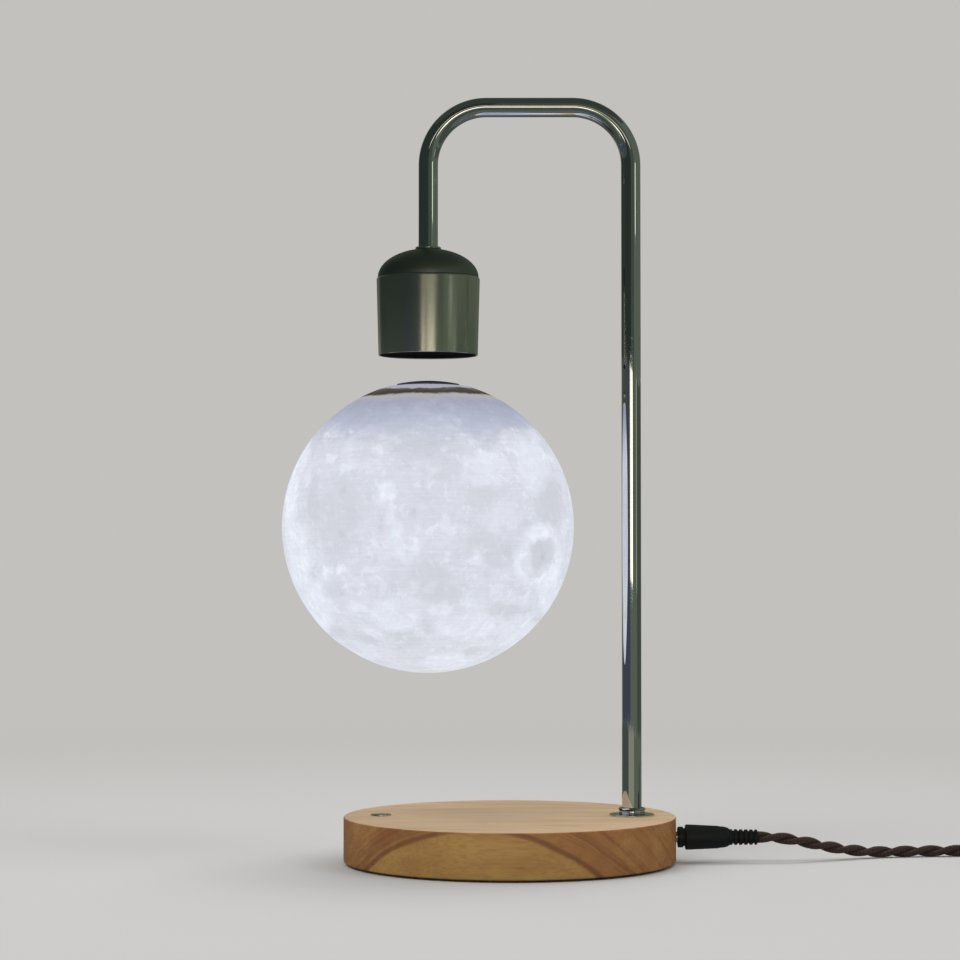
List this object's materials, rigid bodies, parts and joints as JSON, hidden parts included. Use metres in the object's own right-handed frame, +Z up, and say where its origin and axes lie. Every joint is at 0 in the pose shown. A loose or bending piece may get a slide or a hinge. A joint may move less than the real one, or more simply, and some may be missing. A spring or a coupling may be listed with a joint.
{
  "type": "levitating lamp",
  "caption": "Table lamp whose glowing moon globe floats under the magnet of an arched chrome arm on a round wooden base, with a touch button and a braided cord.",
  "frame": {"origin": "centre of the base pad's underside, on the surface that the lamp stands on", "axes": "+Z up, +X from the middle of the base towards the arm's foot and the power cord, +Y away from a viewer who faces the arch"},
  "size_m": [0.534, 0.17, 0.3935],
  "materials": {
    "oiled_wood": "satin",
    "fibreboard": "matte",
    "foam_pad": "matte",
    "zinc_steel": "satin",
    "chrome": "polished",
    "brushed_nickel": "satin",
    "black_plastic": "satin",
    "white_plastic": "satin",
    "circuit_board": "satin",
    "component_can": "satin",
    "copper_wire": "gloss",
    "ferrite": "matte",
    "magnet_nickel": "polished",
    "moon_resin": "matte",
    "light_lens": "gloss",
    "plug_nickel": "polished",
    "black_pvc": "matte",
    "brown_braid": "matte"
  },
  "bodies": {
    "stand": {"wooden_base": "oiled_wood", "base_cover": "fibreboard", "base_pad": "foam_pad", "cover_screw_1": "zinc_steel", "cover_screw_2": "zinc_steel", "cover_screw_3": "zinc_steel", "cover_screw_4": "zinc_steel", "control_board": "circuit_board", "board_standoff_1": "white_plastic", "board_standoff_2": "white_plastic", "board_standoff_3": "white_plastic", "board_capacitor": "component_can", "board_inductor": "ferrite", "touch_button": "chrome", "touch_spring": "zinc_steel", "arched_tube": "chrome", "wiring_loom": "black_pvc", "foot_washer": "chrome", "foot_collar": "chrome", "under_washer": "zinc_steel", "foot_nut": "zinc_steel", "tube_rosette": "chrome", "head_nut": "zinc_steel", "head_dome": "brushed_nickel", "head_shell": "brushed_nickel", "head_cover": "black_plastic", "sensor_board": "circuit_board", "sender_coil": "copper_wire", "ferrite_ring": "ferrite", "magnet_core": "zinc_steel", "coil_bobbin": "black_plastic", "magnet_winding": "copper_wire", "head_board": "circuit_board", "core_screw": "zinc_steel", "power_jack": "black_plastic", "plug_barrel": "plug_nickel", "plug_body": "black_pvc", "strain_relief": "black_pvc", "cord_run": "brown_braid", "cord_coil": "brown_braid", "cord_tie": "black_pvc", "cord_tail": "brown_braid", "adapter_relief": "black_pvc", "adapter_case": "black_plastic", "adapter_face": "black_plastic", "adapter_blade_1": "plug_nickel", "adapter_blade_2": "plug_nickel"},
    "float": {"float_magnet": "magnet_nickel", "magnet_cap": "black_plastic"},
    "globe": {"moon_shell": "moon_resin", "receiver_holder": "white_plastic", "receiver_coil": "copper_wire", "receiver_board": "circuit_board", "light_board": "white_plastic", "light_1": "light_lens", "light_2": "light_lens", "light_3": "light_lens", "light_4": "light_lens"}
  },
  "joints": [
    {"name": "globe_lift", "type": "slide", "parent": "stand", "child": "float", "axis": [0, 0, 1], "range_m": [-0.072, 0.013], "stiffness_N_per_m": 150, "springref_m": 0.0136},
    {"name": "globe_spin", "type": "hinge", "parent": "float", "child": "globe", "pos_m": [-0.0419, 0, 0.1719], "axis": [0, 0, 1], "continuous": true}
  ]
}
